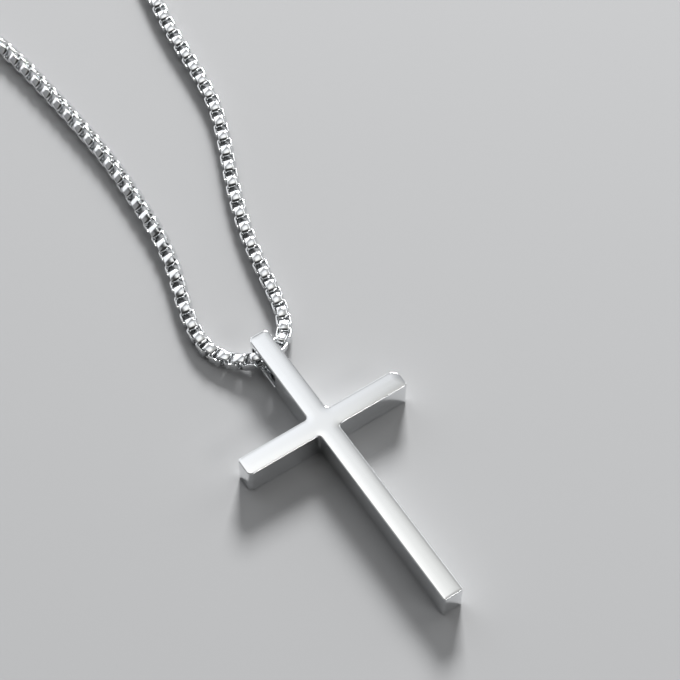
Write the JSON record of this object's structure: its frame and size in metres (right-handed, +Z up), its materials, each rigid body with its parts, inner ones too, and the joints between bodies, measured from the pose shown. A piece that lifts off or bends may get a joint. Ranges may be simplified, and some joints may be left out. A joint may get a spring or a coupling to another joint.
{
  "type": "cross pendant necklace",
  "caption": "Plain polished bar cross with a hidden slot through its head, on a round box chain laid flat in a closed loop with a clasp.",
  "frame": {"origin": "middle of the cross's crossing, on its flat back face", "axes": "+Z up out of the cross's front face, +Y along the foot towards the head and the clasp, +X to the right seen from the front"},
  "size_m": [0.0965, 0.3201, 0.005],
  "materials": {
    "polished_steel": "mirror polished stainless steel with faint wiping marks",
    "chain_steel": "polished stainless steel links, darker between the bands",
    "clasp_steel": "polished stainless steel",
    "ring_steel": "polished stainless steel wire"
  },
  "bodies": {
    "root": {"cross": "polished_steel", "chain": "chain_steel", "clasp": "clasp_steel", "clasp_ring": "ring_steel", "end_ring": "ring_steel"}
  },
  "joints": []
}
